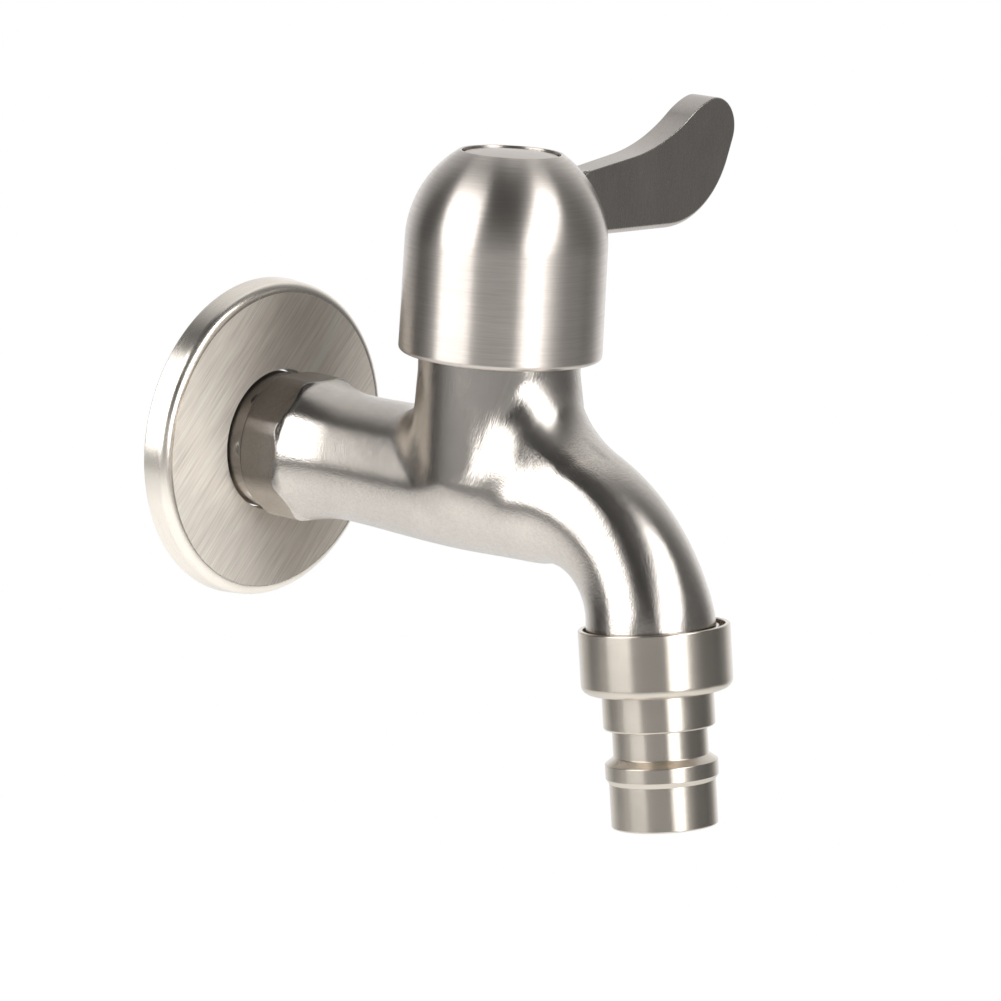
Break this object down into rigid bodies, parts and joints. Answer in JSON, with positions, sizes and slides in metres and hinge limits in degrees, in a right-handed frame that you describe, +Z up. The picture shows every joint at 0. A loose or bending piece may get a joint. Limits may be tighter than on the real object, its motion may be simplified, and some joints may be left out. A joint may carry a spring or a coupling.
{
  "type": "washing machine tap",
  "caption": "Wall-mounted washing machine tap of brushed stainless steel with a lever handle on a domed cap, a curved spout and a stepped quick-connect hose nozzle.",
  "frame": {"origin": "where the axis of the inlet shank meets the plane of the wall, which is the back face of the flange", "axes": "+X out of the wall along the inlet, +Z up along the axis of the handle, +Y the way the lever points at rest"},
  "size_m": [0.1173, 0.0833, 0.1122],
  "materials": {
    "body_steel": "satin, soft grain",
    "flange_steel": "coarse straight brushing on the face, smooth rim",
    "turned_steel": "turned, bright",
    "nozzle_steel": "turned, bright",
    "dome_steel": "brushed round its axis",
    "lever_steel": "satin",
    "plug_steel": "turned, satin",
    "fastener_steel": "plain bright",
    "cartridge_brass": "machined",
    "stem_brass": "turned",
    "washer_rubber": "matte black",
    "ring_rubber": "matte black",
    "slip_plastic": "matte white",
    "dark_ceramic": "lapped ceramic, dark grey",
    "white_ceramic": "lapped ceramic, white"
  },
  "bodies": {
    "tap": {"tap_body": "body_steel", "cartridge_housing": "cartridge_brass", "housing_gasket": "ring_rubber", "slip_washer": "slip_plastic", "fixed_disc": "white_ceramic", "seat_seal": "ring_rubber", "seat_ring": "fastener_steel"},
    "handle": {"handle_dome": "dome_steel", "lever_blade": "lever_steel", "spline_insert": "cartridge_brass", "handle_screw": "fastener_steel", "spring_washer": "fastener_steel", "cap_plug": "plug_steel", "plug_ring": "ring_rubber", "cartridge_stem": "stem_brass", "stem_orings": "ring_rubber", "stem_clip": "fastener_steel", "moving_disc": "dark_ceramic"},
    "flange": {"wall_flange": "flange_steel"},
    "nozzle": {"hose_nozzle": "nozzle_steel", "nozzle_gasket": "washer_rubber"},
    "nut": {"spout_nut": "turned_steel"}
  },
  "joints": [
    {"name": "handle_turn", "type": "hinge", "parent": "tap", "child": "handle", "pos_m": [0.05345, 0, 0.037], "axis": [0, 0, 1], "range_deg": [-90, 0]},
    {"name": "flange_slide", "type": "slide", "parent": "tap", "child": "flange", "axis": [1, 0, 0], "range_m": [0, 0.0025]},
    {"name": "nozzle_drop", "type": "slide", "parent": "tap", "child": "nozzle", "axis": [0.1501, 0, -0.9887], "range_m": [0, 0.00363]},
    {"name": "nut_unscrew", "type": "hinge", "parent": "nozzle", "child": "nut", "pos_m": [0.08879, 0, -0.0166], "axis": [0.1501, 0, -0.9887], "range_deg": [0, 720]}
  ],
  "couplings": [
    {"joint": "nut_unscrew", "follows": "nozzle_drop", "rad_per_m": 3463.7}
  ]
}
